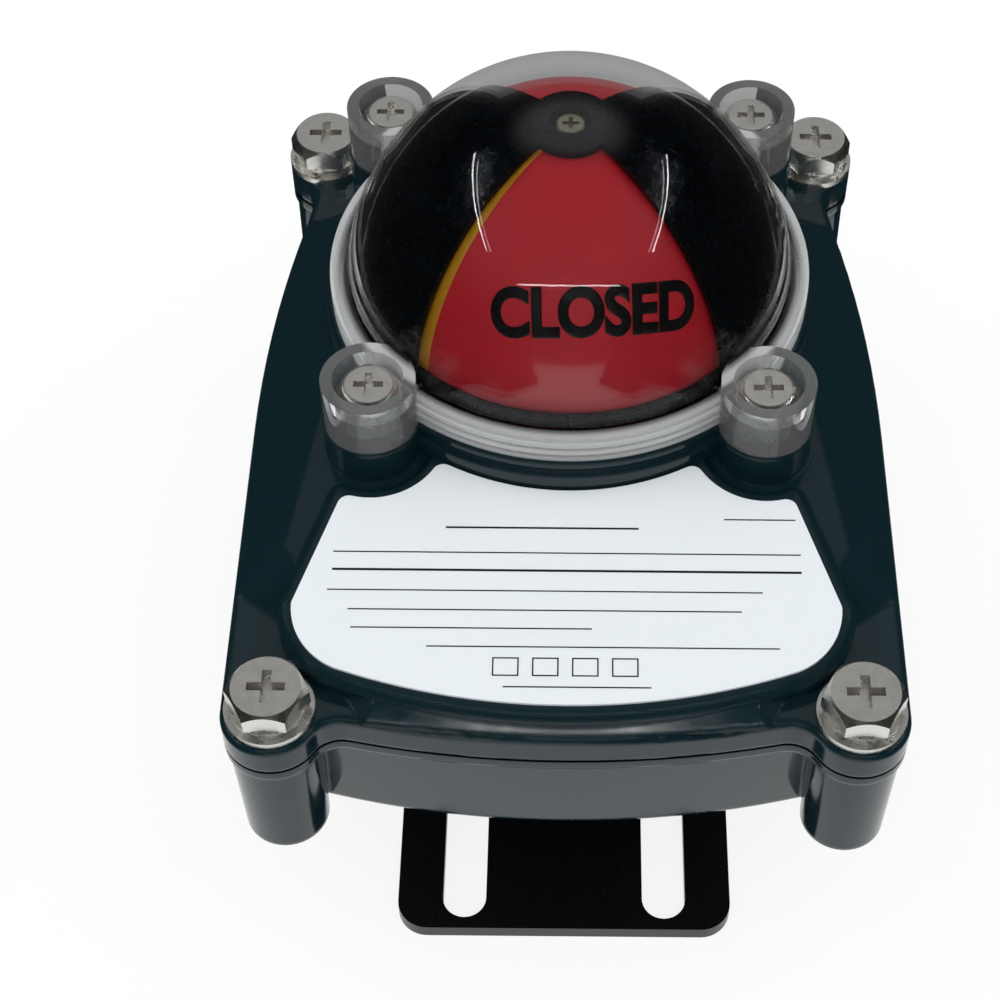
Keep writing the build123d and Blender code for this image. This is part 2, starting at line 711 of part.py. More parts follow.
def cam_outline(rising):
    """Cam edge: an even spiral over the shaft's range, and a smooth return over the rest of the turn."""
    span = turn_high - turn_low
    inner, bearing = cam_reach(1.0)
    outer = cam_reach(0.0)[0]
    slope = (outer - inner) / span
    run_on = 20.0
    points = []
    for step in range(13):
        turned = turn_low - run_on + step * (span + 2 * run_on) / 12
        share = (turned - turn_low) / span
        radius = (inner + (outer - inner) * share) if rising else (outer - (outer - inner) * share)
        points.append((radius, bearing - turned))
    start, end = points[-1], points[0]
    gap = 360 - (span + 2 * run_on)
    for step in range(1, 14):
        share = step / 14
        ease = share * share * (3 - 2 * share)
        points.append((start[0] + (end[0] - start[0]) * ease, start[1] - gap * share))
    places = [(radius * cos(radians(angle)), radius * sin(radians(angle))) for radius, angle in points]
    return make_face(Spline(*places, periodic=True))


def cam(rising, low):
    """Plastic cam with a splined bore and a stepped hub."""
    body = prism(cam_outline(rising), low, low + cam_thickness)
    body = chamfer(body.faces().filter_by(Axis.Z).edges(), 0.4)
    return body - prism(toothed(spline_root + running, spline_tooth, spline_teeth), low - 1, low + cam_thickness + 1)


def cam_spring():
    """Coil spring that holds both cams in place on the spline."""
    low = lower_cam_z + cam_thickness
    travel = upper_cam_z - low - 2 * spring_wire - 0.06
    path = Helix(travel / spring_turns, travel, spring_radius, center=(0, 0, low + spring_wire + 0.03))
    return sweep(Plane(path @ 0, z_dir=path % 0) * Circle(spring_wire), path, is_frenet=True)



# ---------------------------------------------------------------- switches
def switch_case(low):
    """Snap-action switch lying flat: moulded case with two fixing holes and two lugs for its lever."""
    body = slab(switch_length, switch_depth, low, low + switch_height, (0, -switch_front - switch_depth / 2))
    body = fillet(body.edges().filter_by(Axis.Z), 1.0)
    middle = low + switch_height / 2
    pivot = (lever_pivot_x, -switch_front + lever_pivot_out)
    lug_low = lever_width / 2 + 0.2
    for z in (middle - lug_low - 1.2, middle + lug_low):
        lug = post(lever_eye + 0.3, z, z + 1.2, pivot)
        body += lug + slab(2 * lever_eye + 0.6, lever_pivot_out + 0.1, z, z + 1.2,
                           (pivot[0], pivot[1] - lever_pivot_out / 2))
    body += post(pivot_pin, middle - lug_low, middle + lug_low, pivot)
    for sx in (-1, 1):
        body -= post(switch_screw + hole_play, low - 1, low + switch_height + 1, switch_hole(sx))
    plunger_at = Pos(lever_pivot_x + plunger_x, -switch_front, middle) * Rot(90, 0, 0)
    return body - plunger_at * Cylinder(plunger_radius + running, 2 * (plunger_inside + plunger_travel))


def switch_hole(side):
    """Place of a switch case's fixing hole, left or right."""
    return side * switch_hole_pitch / 2, -switch_front - switch_depth + switch_hole_edge


def lever_frame(low, share):
    """Frame of a switch lever: on its pivot, turned out by a share of the lever's travel."""
    middle = low + switch_height / 2
    return Pos(lever_pivot_x, -switch_front + lever_pivot_out, middle) * Rot(0, 0, lever_turn * share)


def lever(low, share):
    """Sheet lever with an eye at the pivot and a forked end that carries the roller."""
    half = lever_width / 2
    eye = Pos(0, 0, -half) * Cylinder(lever_eye, lever_width, align=CENTRE)
    blade_y = lever_sheet / 2 - lever_eye
    blade = Pos(roller_x / 2 - 1.2, blade_y, 0) * Box(roller_x - 2.4, lever_sheet, lever_width)
    body = eye + blade
    fork_y = (blade_y + roller_out) / 2
    cheek = Pos(roller_x - 1.6, fork_y, 0) * Box(2.6, roller_out - blade_y + 0.5, lever_sheet)
    tip = Cylinder(roller_pin + 0.7, lever_sheet)
    for side in (-1, 1):
        z = side * (half - lever_sheet / 2)
        bridge = Pos(roller_x - 2.6, blade_y, z) * Box(2.6, lever_sheet, lever_sheet)
        body += Pos(0, 0, z) * cheek + Pos(roller_x, roller_out, z) * tip + bridge
    body -= Cylinder(pivot_pin + running, 2 * lever_width)
    body -= Pos(roller_x, roller_out, 0) * Cylinder(roller_pin + seat_gap, 2 * lever_width)
    return lever_frame(low, share) * body


def roller(low, share):
    """Roller at the lever's tip."""
    body = Cylinder(roller_radius, roller_width) - Cylinder(roller_pin + running, roller_width + 1)
    return lever_frame(low, share) * Pos(roller_x, roller_out, 0) * body


def roller_axle(low, share):
    """Riveted pin through the lever's fork and the roller."""
    body = Cylinder(roller_pin, lever_width)
    head = Cylinder(roller_pin + 0.4, 0.3)
    for side in (-1, 1):
        body += Pos(0, 0, side * (lever_width / 2 + 0.15)) * head
    return lever_frame(low, share) * Pos(roller_x, roller_out, 0) * body


def plunger(low, share):
    """Switch plunger: a round button whose tip follows the lever."""
    swing = radians(lever_turn * share)
    out = lever_pivot_out - lever_eye + plunger_x * sin(swing) - plunger_gap
    middle = low + switch_height / 2
    start = -switch_front - plunger_inside
    tip = -switch_front + out
    return Pos(lever_pivot_x + plunger_x, (start + tip) / 2, middle) * Rot(90, 0, 0) \
        * Cylinder(plunger_radius, tip - start)


def switch_tabs(low):
    """Three flat connecting tabs on the back of a switch."""
    middle = low + switch_height / 2
    back = -switch_front - switch_depth
    tabs = []
    for index in (-1, 0, 1):
        tab = slab(tab_width, tab_length, middle - tab_thickness / 2, middle + tab_thickness / 2,
                   (index * tab_pitch, back - tab_length / 2))
        tabs.append(tab - post(0.9, low, low + switch_height, (index * tab_pitch, back - tab_length * 0.65)))
    return tabs


def switch_plate():
    """Steel plate under the switches, screwed to two floor posts."""
    y = -switch_front - plate_depth / 2
    body = slab(plate_length, plate_depth, plate_z, plate_z + plate_sheet, (0, y))
    body = fillet(body.edges().filter_by(Axis.Z), 2.0)
    for x, y, _ in plate_posts():
        body -= post(plate_screw + hole_play, plate_z - 1, plate_z + plate_sheet + 1, (x, y))
    for sx in (-1, 1):
        body -= post(switch_screw + screw_play, plate_z - 1, plate_z + plate_sheet + 1, switch_hole(sx))
    return body


def spacer():
    """Insulating sheet between the two switches."""
    low = lower_switch_z + switch_height
    body = slab(switch_length - 1, switch_depth - 1, low, low + spacer_thickness,
                (0, -switch_front - switch_depth / 2))
    for sx in (-1, 1):
        body -= post(switch_screw + hole_play, low - 1, low + spacer_thickness + 1, switch_hole(sx))
    return body


# ---------------------------------------------------------------- terminal strip
def strip_low():
    """Height of the terminal strip's underside."""
    return floor_top + strip_stand


def terminal_strip():
    """Moulded strip: a row of open cells between barriers, with a fixing foot at each end."""
    low = strip_low()
    length = poles * pole_pitch + barrier
    y = -strip_front + strip_depth / 2
    body = slab(length, strip_depth, low, low + strip_height, (0, y))
    for index in range(poles):
        x = (index - (poles - 1) / 2) * pole_pitch
        body -= slab(pole_pitch - barrier, strip_depth + 2, low + strip_height * 0.55, low + strip_height + 1, (x, y))
        body -= post(terminal_thread + screw_play, low + 1.5, low + strip_height, (x, y))
    for x, y_post, _ in strip_posts():
        foot = slab(9.0, strip_depth * 0.7, low, low + 3.0, (x, y_post))
        body += foot
    for x, y_post, _ in strip_posts():
        body -= post(plate_screw + hole_play, low - 1, low + 4, (x, y_post))
        body -= post(small_post, low + 3.0, low + strip_height + 1, (x, y_post))
    return body


def terminal_plates():
    """One metal link in each cell, under the screw."""
    low = strip_low() + strip_height * 0.55
    plates = []
    for index in range(poles):
        x = (index - (poles - 1) / 2) * pole_pitch
        y = -strip_front + strip_depth / 2
        link = slab(pole_pitch - barrier - 0.6, strip_depth - 1.5, low, low + 0.8, (x, y))
        plates.append(link - post(terminal_thread + hole_play, low - 1, low + 2, (x, y)))
    return plates


def terminal_screws():
    """One screw in each cell."""
    top = strip_low() + strip_height * 0.55 + 0.8 + terminal_screw_height
    y = -strip_front + strip_depth / 2
    return [pan_screw(((index - (poles - 1) / 2) * pole_pitch, y), top, terminal_screw, terminal_screw_height,
                      terminal_thread, 3.0) for index in range(poles)]


# ---------------------------------------------------------------- smaller fixings
def mount_washers():
    """Plain washers under the heads of the bracket's screws."""
    top = underside - bracket_sheet
    return [ring(mount_head + 0.6, mount_screw + 0.2, top - 0.8, top, at) for at in MOUNT_SCREWS]


def mount_screws():
    """Button-head screws that hold the housing on the bracket, pointing up."""
    seat = underside - bracket_sheet - 0.8
    screws = []
    for at in MOUNT_SCREWS:
        head = post(mount_head, seat - mount_head_height, seat, at)
        head = fillet(head.faces().sort_by(Axis.Z)[0].edges(), mount_head_height * 0.5)
        body = head + post(mount_screw, seat, underside + mount_thread - 0.5, at)
        hexagon = prism(Pos(*at) * RegularPolygon(1.5, 6, major_radius=False), seat - mount_head_height - 1,
                        seat - mount_head_height + 1.4)
        screws.append(body - hexagon)
    return screws


def cam_cap():
    """Plastic cap that keeps the cams on the spline."""
    low = upper_cam_z + cam_thickness + 0.1
    body = ring(spline_root + spline_tooth + 2.5, spline_root + spline_tooth + running, low, low + cam_cap_thickness)
    return chamfer(body.faces().sort_by(Axis.Z)[-1].edges(), 0.3)


def nameplate():
    """Thin shaped plate on the cover's sloping pad."""
    return extrude(pad_plane(0) * plate_outline(), plate_thickness)


# ---------------------------------------------------------------- every piece, written out
save("base_housing", base_housing())
save("mounting_bracket", bracket())
save("bracket_screws", mount_screws())
save("bracket_washers", mount_washers())
save("cover_gasket", gasket_ring(gasket_depth - 0.05, play=0.15))

save("drive_shaft", drive_shaft())
save("shaft_bushing", bushing())
save("shaft_o_ring", shaft_seal())
save("thrust_washer", ring(circlip_radius + 0.5, shaft_radius + running, underside - thrust_washer_thickness - 0.05,
                           underside - 0.05))
save("circlip", circlip())
save("lower_cam", cam(False, lower_cam_z))
save("upper_cam", cam(True, upper_cam_z))
save("cam_spring", cam_spring())
save("cam_cap", cam_cap())

save("switch_plate", switch_plate())
save("switch_plate_screws", [pan_screw((x, y), plate_z + plate_sheet + switch_screw_head_height, switch_screw_head,
                                       switch_screw_head_height, plate_screw, plate_sheet + plate_stand + 0.7)
                             for x, y, _ in plate_posts()])
save("switch_spacer", spacer())
save("switch_screws", [pan_screw(switch_hole(side), upper_switch_z + switch_height + switch_screw_head_height,
                                 switch_screw_head, switch_screw_head_height, switch_screw,
                                 upper_switch_z + switch_height - plate_z) for side in (-1, 1)])
shown = -turn_low / (turn_high - turn_low)
for name, low, share in (("lower", lower_switch_z, shown), ("upper", upper_switch_z, 1 - shown)):
    save(f"{name}_switch", switch_case(low))
    save(f"{name}_switch_tabs", switch_tabs(low))
    save(f"{name}_switch_plunger", plunger(low, share))
    save(f"{name}_switch_lever", lever(low, share))
    save(f"{name}_lever_roller", roller(low, share))
    save(f"{name}_roller_pin", roller_axle(low, share))

save("terminal_strip", terminal_strip())
save("terminal_plates", terminal_plates())
save("terminal_screws", terminal_screws())
save("terminal_strip_screws", [pan_screw((x, y), strip_low() + 3.0 + switch_screw_head_height, switch_screw_head,
                                         switch_screw_head_height, plate_screw, 3.0 + strip_stand + 0.7)
                               for x, y, _ in strip_posts()])
save("earth_screw", pan_screw((earth_x, earth_y), floor_top + 1.0 + 2.2, earth_head, 2.2, earth_screw, 2.6))
save("earth_washer", ring(earth_head + 0.8, earth_screw + 0.2, floor_top, floor_top + 1.0, (earth_x, earth_y)))

save("top_cover", top_cover())
save("nameplate", nameplate())
save("cover_bolts", [cover_bolt(at) for at in BOLTS])
save("cover_washers", [ring(washer_radius, bolt + 0.2, flange_top, flange_top + washer_thickness, at) for at in BOLTS])
save("cover_spring_washers", [split_washer(at, flange_top + washer_thickness) for at in BOLTS])

save("dome", dome())
save("dome_gasket", ring(dome_gasket_radius + dome_gasket_width / 2 - 0.1,
                         dome_gasket_radius - dome_gasket_width / 2 + 0.1,
                         seat_height - dome_gasket_depth, seat_height - 0.05))
save("dome_screws", [pan_screw(at, seat_height + ear_floor + dome_screw_head_height, dome_screw_head,
                               dome_screw_head_height, dome_screw, dome_screw_length) for at in EARS])
save("indicator_hood", indicator_hood())
save("drum_carrier", drum_carrier())
save("drum_closed_panels", [drum_panel(-90 - turn_low), drum_panel(90 - turn_low)])
save("drum_open_panels", [drum_panel(-turn_low), drum_panel(180 - turn_low)])
save("drum_screw", pan_screw((0, 0), drum_screw_seat() + drum_screw_head_height, drum_screw_head,
                             drum_screw_head_height, drum_screw_shank, drum_screw_seat() - shaft_top + 9.0))
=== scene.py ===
"""Valve limit switch box on its folded bracket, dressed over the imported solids.

Metres, +Z up, -Y front.
"""
import math

import bmesh
import bpy
from mathutils import Matrix, Vector


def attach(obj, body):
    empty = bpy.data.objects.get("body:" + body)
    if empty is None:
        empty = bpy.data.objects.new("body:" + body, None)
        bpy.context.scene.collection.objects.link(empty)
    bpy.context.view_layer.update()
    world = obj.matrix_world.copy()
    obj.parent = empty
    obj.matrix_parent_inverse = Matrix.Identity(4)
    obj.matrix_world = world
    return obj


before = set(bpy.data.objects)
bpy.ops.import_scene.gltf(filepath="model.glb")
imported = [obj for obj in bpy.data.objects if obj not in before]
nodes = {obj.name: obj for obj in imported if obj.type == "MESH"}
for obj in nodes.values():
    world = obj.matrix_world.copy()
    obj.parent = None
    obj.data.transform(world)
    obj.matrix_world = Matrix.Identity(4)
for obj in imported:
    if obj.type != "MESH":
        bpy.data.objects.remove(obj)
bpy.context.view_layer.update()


# ---------------------------------------------------------------- camera
# A close view from above the front edge: the box fills the picture, a little off centre. The
# lens is a long one, tipped down and turned by half a degree.
MM = 0.001
scene = bpy.context.scene
camera_place = Vector((0.0, -228.6, 299.9)) * MM
camera_pitch = 52.03        # degrees below level
camera_roll = 0.5
camera_data = bpy.data.cameras.new("camera")
camera_data.sensor_width = 36.0
camera_data.lens = 78.79
camera_data.shift_x = -0.0675
camera_data.clip_start = 0.01
camera = bpy.data.objects.new("camera", camera_data)
scene.collection.objects.link(camera)
camera.matrix_world = (
    Matrix.Translation(camera_place)
    @ Matrix.Rotation(math.radians(90.0 - camera_pitch), 4, "X")
    @ Matrix.Rotation(math.radians(camera_roll), 4, "Z")
)
scene.camera = camera
scene.view_settings.view_transform = "Standard"


# ---------------------------------------------------------------- studio
# A white paper floor in a light tent that glows evenly on the box. Gloss and clear plastic see
# it darker: a grey strip along the horizon, dark above and at the sides, one bright spot high
# behind, three thin lines of lamps, and folded cards that hide much of the floor.
strip_top = 0.07            # top of the grey strip, as the z of a direction
strip_grey, dark_above = 0.35, 0.03
side_start, side_full = 0.2, 0.5        # where the sides turn dark, as the x of a direction
side_share = 0.05           # what is left of the light there
spot_toward = (0.0, 0.616, 0.788)
spot_edge, spot_full = 0.90, 0.99       # cosines of the angle off the spot's middle
spot_light = 0.5
glow_light = 0.75


def linear(hex_colour):
    """sRGB hex value to the linear colour that the shaders take."""
    parts = [int(hex_colour[i:i + 2], 16) / 255 for i in (1, 3, 5)]
    return tuple(c / 12.92 if c <= 0.04045 else ((c + 0.055) / 1.055) ** 2.4
                 for c in parts) + (1.0,)


def add(tree, kind, settings=(), inputs=(), links=()):
    """One node with its settings, its input values and the links into it."""
    node = tree.nodes.new(kind)
    for name, value in dict(settings).items():
        setattr(node, name, value)
    for name, value in dict(inputs).items():
        node.inputs[name].default_value = value
    for name, source in dict(links).items():
        tree.links.new(source, node.inputs[name])
    return node


world = bpy.data.worlds.new("light_tent")
world.use_nodes = True
scene.world = world
tree = world.node_tree
tree.nodes.clear()
toward = add(tree, "ShaderNodeTexCoord")
split = add(tree, "ShaderNodeSeparateXYZ", links={"Vector": toward.outputs["Generated"]})
strip = add(tree, "ShaderNodeMapRange", {"interpolation_type": "SMOOTHSTEP"},
            {"From Min": 0.0, "From Max": strip_top, "To Min": strip_grey, "To Max": dark_above},
            {"Value": split.outputs["Z"]})
sideways = add(tree, "ShaderNodeMath", {"operation": "ABSOLUTE"}, links={0: split.outputs["X"]})
sides = add(tree, "ShaderNodeMapRange", {"interpolation_type": "SMOOTHSTEP"},
            {"From Min": side_start, "From Max": side_full, "To Min": 1.0, "To Max": side_share},
            {"Value": sideways.outputs[0]})
walls = add(tree, "ShaderNodeMath", {"operation": "MULTIPLY"},
            links={0: strip.outputs["Result"], 1: sides.outputs["Result"]})
behind = add(tree, "ShaderNodeVectorMath", {"operation": "DOT_PRODUCT"}, {1: spot_toward},
             {0: toward.outputs["Generated"]})
spot = add(tree, "ShaderNodeMapRange", {"interpolation_type": "SMOOTHSTEP"},
           {"From Min": spot_edge, "From Max": spot_full, "To Min": 0.0, "To Max": spot_light},
           {"Value": behind.outputs["Value"]})
room = add(tree, "ShaderNodeMath", {"operation": "ADD"},
           links={0: walls.outputs[0], 1: spot.outputs["Result"]})
# Only light that hasn't met paint yet sees the dark room. What has is lit by the glow, or the
# drum would go dark under its dome.
path = add(tree, "ShaderNodeLightPath")
mirrored = add(tree, "ShaderNodeMath", {"operation": "ADD"},
               links={0: path.outputs["Is Glossy Ray"], 1: path.outputs["Is Transmission Ray"]})
unscattered = add(tree, "ShaderNodeMath", {"operation": "LESS_THAN"}, {1: 0.5},
                  {0: path.outputs["Diffuse Depth"]})
sees_room = add(tree, "ShaderNodeMath", {"operation": "MULTIPLY"},
                links={0: mirrored.outputs[0], 1: unscattered.outputs[0]})
backdrop = add(tree, "ShaderNodeBackground", links={"Strength": room.outputs[0]})
glow = add(tree, "ShaderNodeBackground",
           inputs={"Color": linear("#f4f8fa"), "Strength": glow_light})
white = add(tree, "ShaderNodeBackground", inputs={"Strength": 1.0})
round_box = add(tree, "ShaderNodeMixShader",
                links={0: sees_room.outputs[0], 1: glow.outputs[0], 2: backdrop.outputs[0]})
shown = add(tree, "ShaderNodeMixShader",
            links={0: path.outputs["Is Camera Ray"], 1: round_box.outputs[0],
                   2: white.outputs[0]})
add(tree, "ShaderNodeOutputWorld", links={"Surface": shown.outputs[0]})

# The paper is plain to the light on the box, and lifted to white for the camera, gloss and
# clear plastic. A share of it stays unlifted and keeps the shadow.
lifted_share = 0.85
floor_half = 6.0
paper = bpy.data.materials.new("white_paper_floor")
paper.use_nodes = True
tree = paper.node_tree
tree.nodes.clear()
path = add(tree, "ShaderNodeLightPath")
seen = add(tree, "ShaderNodeMath", {"operation": "ADD"},
           links={0: path.outputs["Is Camera Ray"], 1: path.outputs["Is Glossy Ray"]})
seen = add(tree, "ShaderNodeMath", {"operation": "ADD", "use_clamp": True},
           links={0: seen.outputs[0], 1: path.outputs["Is Transmission Ray"]})
sheet = add(tree, "ShaderNodeBsdfDiffuse", inputs={"Color": linear("#ffffff")})
lift = add(tree, "ShaderNodeEmission", inputs={"Color": (1.0, 1.0, 1.0, 1.0)},
           links={"Strength": seen.outputs[0]})
lifted = add(tree, "ShaderNodeMixShader", inputs={0: lifted_share},
             links={1: sheet.outputs[0], 2: lift.outputs[0]})
both = add(tree, "ShaderNodeMixShader",
           links={0: seen.outputs[0], 1: sheet.outputs[0], 2: lifted.outputs[0]})
add(tree, "ShaderNodeOutputMaterial", links={"Surface": both.outputs[0]})
mesh = bpy.data.meshes.new("floor")
bm = bmesh.new()
bmesh.ops.create_grid(bm, x_segments=1, y_segments=1, size=floor_half)
bm.to_mesh(mesh)
bm.free()
mesh.materials.append(paper)
floor = bpy.data.objects.new("floor", mesh)
scene.collection.objects.link(floor)


def tent_lamp(name, place, aim, size, watts, shows=True):
    """A flat lamp of the tent, aimed at a point, which gloss and clear plastic may not show."""
    lamp = bpy.data.lights.new(name, "AREA")
    lamp.shape = "RECTANGLE"
    lamp.size, lamp.size_y = size
    lamp.energy = watts
    lamp_object = bpy.data.objects.new(name, lamp)
    scene.collection.objects.link(lamp_object)
    spot = Vector(place)
    lamp_object.location = spot
    lamp_object.rotation_euler = (Vector(aim) - spot).to_track_quat("-Z", "Y").to_euler()
    lamp_object.visible_glossy = shows
    lamp_object.visible_transmission = shows


def card(name, folds, strength):
    """A folded card beside the box, seen only in gloss and in clear plastic."""
    tone = bpy.data.materials.new(name)
    tone.use_nodes = True
    tone.node_tree.nodes.clear()
    lit = add(tone.node_tree, "ShaderNodeEmission", inputs={"Strength": strength})
    add(tone.node_tree, "ShaderNodeOutputMaterial", links={"Surface": lit.outputs[0]})
    bm = bmesh.new()
    posts = [(bm.verts.new(foot), bm.verts.new(head)) for foot, head in folds]
    for (foot, head), (next_foot, next_head) in zip(posts, posts[1:]):
        bm.faces.new((foot, next_foot, next_head, head))
    mesh = bpy.data.meshes.new(name)
    bm.to_mesh(mesh)
    bm.free()
    mesh.materials.append(tone)
    piece = bpy.data.objects.new(name, mesh)
    scene.collection.objects.link(piece)
    piece.visible_camera = False
    piece.visible_diffuse = False
    piece.visible_shadow = False


card_foot, card_head = 0.002, 0.14      # metres up from the floor, of a card's two edges


def fold(side, foot, head):
    """One fold of a card, left or right of the box, from the x and y of its foot and head."""
    return (side * foot[0], foot[1], card_foot), (side * head[0], head[1], card_head)


line_size = (0.80, 0.010)
tent_lamp("soft_box", place=(0.0, -0.15, 1.1), aim=(0, 0, 0.05), size=(1.3, 1.3), watts=3.5,
          shows=False)
tent_lamp("left_line", place=(-0.60, 0.07, 0.68), aim=(0, 0.07, 0.08), size=line_size, watts=0.8)
tent_lamp("right_line", place=(0.60, 0.07, 0.68), aim=(0, 0.07, 0.08), size=line_size, watts=0.8)
tent_lamp("front_line", place=(0.0, -0.62, 0.62), aim=(0, 0, 0.08), size=line_size, watts=0.5)

front_fold = (0.088, -0.40), (0.17, -0.45)
side_fold = (0.088, 0.040), (0.17, 0.120)
rear_fold = (0.030, 0.075), (0.08, 0.200)
for side, word in ((-1, "left"), (1, "right")):
    folds = [fold(side, *front_fold), fold(side, *side_fold), fold(side, *rear_fold)]
    card("black_card_" + word, folds, strength=0.01)
card("grey_card_rear", [fold(-1, *rear_fold), fold(1, *rear_fold)], strength=0.33)


# ---------------------------------------------------------------- housing and cover castings
# Die-cast aluminium with a thick baked gloss coat, near black with a green-blue cast. The coat
# levels out on the flats, rounds the edges and keeps a faint orange-peel ripple, drawn about
# 2.6 mm across.
coat_dark = linear("#0f2227")
coat_gloss = 0.38           # specular level of the coat
coat_edge = 0.9             # radius to which it rounds an edge
# Painted shade at the seam: the coat is darkened and its gloss taken away along the join of
# cover and tray.
seam_height = 44.0
seam_shade_half, seam_shade_fade = 0.2, 0.35        # from the seam's middle: full dark, and clear of it


def material(name):
    """A new material with its Principled shader, ready for more nodes."""
    made = bpy.data.materials.new(name)
    made.use_nodes = True
    made.node_tree.nodes.clear()
    shader = made.node_tree.nodes.new("ShaderNodeBsdfPrincipled")
    add(made.node_tree, "ShaderNodeOutputMaterial", links={"Surface": shader.outputs[0]})
    return made, made.node_tree, shader


def set_shader(shader, **values):
    """Constants on the shader's own sockets."""
    for name, value in values.items():
        shader.inputs[name.replace("_", " ")].default_value = value


def relief(tree, shader, grain_mm, depth_mm, edge_mm=0.0):
    """A faint bump with grain of a real size and depth, and edges rounded to the eye."""
    where = add(tree, "ShaderNodeTexCoord")
    grain = add(tree, "ShaderNodeTexNoise",
                inputs={"Scale": 1.0 / (grain_mm * MM), "Detail": 2.0},
                links={"Vector": where.outputs["Object"]})
    bump = add(tree, "ShaderNodeBump", inputs={"Strength": 1.0, "Distance": depth_mm * MM},
               links={"Height": grain.outputs["Fac"]})
    if edge_mm:
        rounded = add(tree, "ShaderNodeBevel", {"samples": 6}, {"Radius": edge_mm * MM})
        tree.links.new(rounded.outputs["Normal"], bump.inputs["Normal"])
    tree.links.new(bump.outputs["Normal"], shader.inputs["Normal"])
    return grain


def worn(tree, shader, grain, low, high):
    """Roughness that wanders between two values with the grain, which keeps to 0.3 to 0.7."""
    span = add(tree, "ShaderNodeMapRange",
               inputs={"From Min": 0.3, "From Max": 0.7, "To Min": low, "To Max": high},
               links={"Value": grain.outputs["Fac"]})
    tree.links.new(span.outputs["Result"], shader.inputs["Roughness"])


def grained(name, colour, grain_mm, depth_mm, rough, **values):
    """A material of one colour whose relief and roughness follow a grain of a real size."""
    made, tree, shader = material(name)
    set_shader(shader, Base_Color=linear(colour), **values)
    worn(tree, shader, relief(tree, shader, grain_mm, depth_mm), *rough)
    return made


def dress(made, *names):
    """Give carried-over solids their one material."""
    for name in names:
        mesh = nodes[name].data
        mesh.materials.clear()
        mesh.materials.append(made)


gloss_coat, tree, shader = material("gloss_baked_coat_on_aluminium")
set_shader(shader, Base_Color=coat_dark, IOR=1.5)
ripple = relief(tree, shader, grain_mm=2.6, depth_mm=0.002, edge_mm=coat_edge)
worn(tree, shader, ripple, low=0.07, high=0.12)
# A painted shadow, dark and dull, lies along the seam where the cover meets the tray, at the
# seam's height.
where = add(tree, "ShaderNodeTexCoord")
height = add(tree, "ShaderNodeSeparateXYZ", links={"Vector": where.outputs["Object"]})
off_seam = add(tree, "ShaderNodeMath", {"operation": "SUBTRACT"}, {1: seam_height * MM},
               {0: height.outputs["Z"]})
off_seam = add(tree, "ShaderNodeMath", {"operation": "ABSOLUTE"}, links={0: off_seam.outputs[0]})
clear_of_seam_shade = add(tree, "ShaderNodeMapRange",
                    inputs={"From Min": seam_shade_half * MM, "From Max": seam_shade_fade * MM},
                    links={"Value": off_seam.outputs[0]})
coat_and_seam_shade = add(tree, "ShaderNodeMix", {"data_type": "RGBA"},
                  {"A": linear("#010202"), "B": coat_dark},
                  {"Factor": clear_of_seam_shade.outputs["Result"]})
tree.links.new(coat_and_seam_shade.outputs["Result"], shader.inputs["Base Color"])
seam_shade_gloss = add(tree, "ShaderNodeMath", {"operation": "MULTIPLY"}, {1: coat_gloss},
                 {0: clear_of_seam_shade.outputs["Result"]})
tree.links.new(seam_shade_gloss.outputs[0], shader.inputs["Specular IOR Level"])
dress(gloss_coat, "base_housing", "top_cover")

# Moulded black rubber seals: dull, with a fine moulded grain.
rubber = grained("moulded_nitrile_rubber", "#1b1c1d", grain_mm=0.5, depth_mm=0.01,
                 rough=(0.55, 0.7), IOR=1.52)
dress(rubber, "cover_gasket", "dome_gasket", "shaft_o_ring")


# ---------------------------------------------------------------- mounting bracket
# Folded 2.5 mm steel strip with a satin black powder coat. The powder melts to a fine grain
# that looks a little rough and softens every reflection.
powder_coat = grained("satin_black_powder_coat", "#08080b", grain_mm=0.7, depth_mm=0.008,
                      rough=(0.26, 0.36), IOR=1.5)
dress(powder_coat, "mounting_bracket")


# ---------------------------------------------------------------- bolts, screws and washers
# Turned and cold-headed stainless steel, bright, with marks left by the tools. The marks on
# these metals are drawn coarser than the real ones, so that they show.
stainless = grained("bright_stainless_steel", "#dddbd5", grain_mm=1.6, depth_mm=0.0006,
                    rough=(0.24, 0.34), Metallic=1.0)
dress(stainless, "cover_bolts", "cover_washers", "cover_spring_washers", "dome_screws",
      "drive_shaft", "circlip", "cam_spring", "lower_switch_lever", "upper_switch_lever",
      "lower_roller_pin", "upper_roller_pin")

# Steel screws and plates inside the box, zinc plated with a bluish passivated film.
zinc = grained("blue_passivated_zinc_plate", "#c6ccd2", grain_mm=1.6, depth_mm=0.0006,
               rough=(0.26, 0.4), Metallic=1.0)
dress(zinc, "bracket_screws", "bracket_washers", "switch_plate", "switch_plate_screws",
      "switch_screws", "terminal_screws", "terminal_strip_screws", "thrust_washer")

# Bright brass for the switch tabs, the terminal plates and the earth screw, slightly mottled.
brass = grained("stamped_brass", "#c9a35a", grain_mm=1.1, depth_mm=0.004, rough=(0.2, 0.34),
                Metallic=1.0)
dress(brass, "lower_switch_tabs", "upper_switch_tabs", "terminal_plates", "earth_screw",
      "earth_washer")

# Sintered bronze bush, brown and slightly porous.
bronze = grained("sintered_bronze", "#a8743f", grain_mm=0.35, depth_mm=0.02, rough=(0.35, 0.5),
                 Metallic=1.0)
dress(bronze, "shaft_bushing")


# ---------------------------------------------------------------- switches, cams and terminals
# Moulded plastics: black phenolic switch cases, red, yellow and white acetal for what turns and
# slides, a grey nylon strip. The grain of their tools takes the edge off their gloss.
def moulded(name, colour, rough, ior=1.5):
    """A moulded plastic with the faint grain of its tool."""
    return grained(name, colour, grain_mm=0.6, depth_mm=0.006, rough=rough, IOR=ior)


